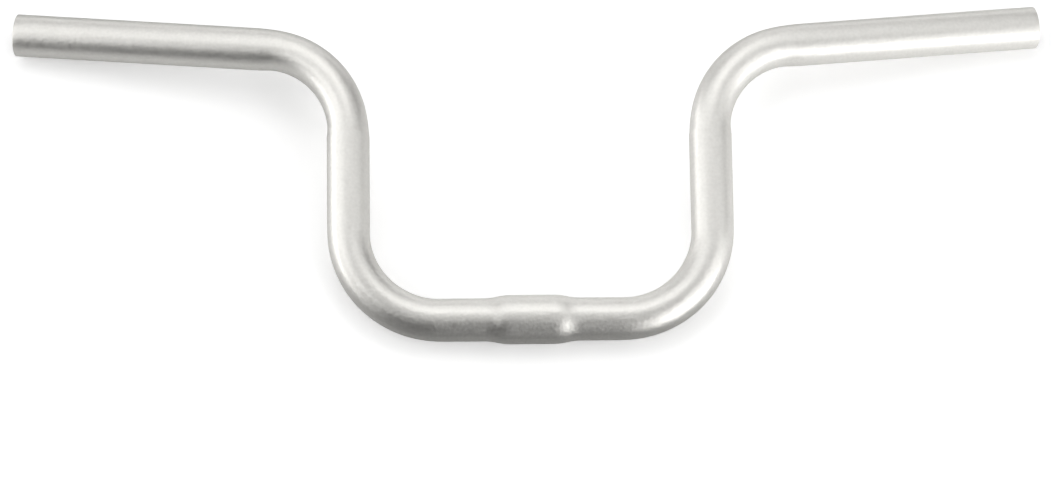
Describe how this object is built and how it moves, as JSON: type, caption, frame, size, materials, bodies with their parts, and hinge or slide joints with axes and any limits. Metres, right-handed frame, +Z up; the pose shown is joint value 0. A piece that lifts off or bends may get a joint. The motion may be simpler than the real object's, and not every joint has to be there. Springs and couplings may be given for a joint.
{
  "type": "riser handlebar",
  "caption": "Bicycle riser handlebar bent from a single round tube, with a bulged stem clamp zone, upright legs and swept grips with open ends.",
  "frame": {"origin": "middle of the bulged clamp zone, on its axis", "axes": "+X along the clamp zone and across the width, towards the right grip in the picture; +Y from the clamp towards the grips, along the surface that the bar lies on; +Z up, away from that surface, which is 12.7 mm below the origin"},
  "size_m": [0.5396, 0.186, 0.0394],
  "materials": {
    "satin_aluminium": "fine bead-blasted and clear anodised, satin silver"
  },
  "bodies": {
    "root": {"handlebar": "satin_aluminium"}
  },
  "joints": []
}
